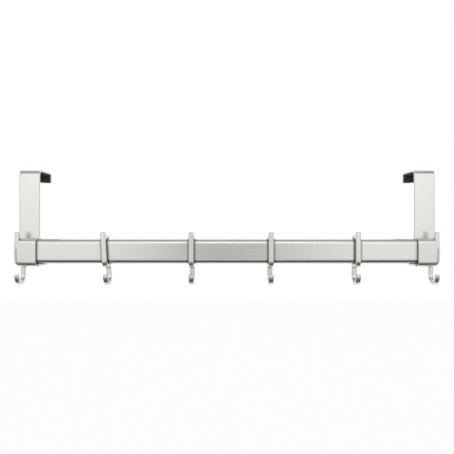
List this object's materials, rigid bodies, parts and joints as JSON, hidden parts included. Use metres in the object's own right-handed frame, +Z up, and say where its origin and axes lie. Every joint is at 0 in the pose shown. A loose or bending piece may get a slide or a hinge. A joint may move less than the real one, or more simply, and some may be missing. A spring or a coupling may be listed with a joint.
{
  "type": "over door hook",
  "caption": "Hook rail that hangs over a door: a flat oval metal tube between cast end caps on two bent straps, with hooks that slide along the tube.",
  "frame": {"origin": "half way along the rail, where the door's front face meets its top: the plane of the two linings' undersides is z = 0 and the plane of the front linings is y = 0", "axes": "+X along the rail to the right as seen from the front, +Y into the door, +Z up"},
  "size_m": [0.5158, 0.0664, 0.1418],
  "materials": {
    "satin_rail": "satin nickel, fine lengthwise brushing",
    "satin_cast": "satin nickel on cast metal",
    "strap_metal": "satin nickel, smooth",
    "foam": "matt black foam",
    "screw_metal": "bright zinc"
  },
  "bodies": {
    "rail": {"rail_tube": "satin_rail", "end_cap_left": "satin_cast", "end_cap_right": "satin_cast", "door_strap_left": "strap_metal", "door_strap_right": "strap_metal", "upper_lining_left": "foam", "upper_lining_right": "foam", "lower_lining_left": "foam", "lower_lining_right": "foam", "strap_screws_left": "screw_metal", "strap_screws_right": "screw_metal"},
    "hook_1": {"sliding_hook_1": "satin_cast"},
    "hook_2": {"sliding_hook_2": "satin_cast"},
    "hook_3": {"sliding_hook_3": "satin_cast"},
    "hook_4": {"sliding_hook_4": "satin_cast"}
  },
  "joints": [
    {"name": "hook_1_slide", "type": "slide", "parent": "rail", "child": "hook_1", "axis": [1, 0, 0], "range_m": [-0.069, 0.047]},
    {"name": "hook_2_slide", "type": "slide", "parent": "rail", "child": "hook_2", "axis": [1, 0, 0], "range_m": [-0.047, 0.044]},
    {"name": "hook_3_slide", "type": "slide", "parent": "rail", "child": "hook_3", "axis": [1, 0, 0], "range_m": [-0.044, 0.048]},
    {"name": "hook_4_slide", "type": "slide", "parent": "rail", "child": "hook_4", "axis": [1, 0, 0], "range_m": [-0.048, 0.061]}
  ]
}
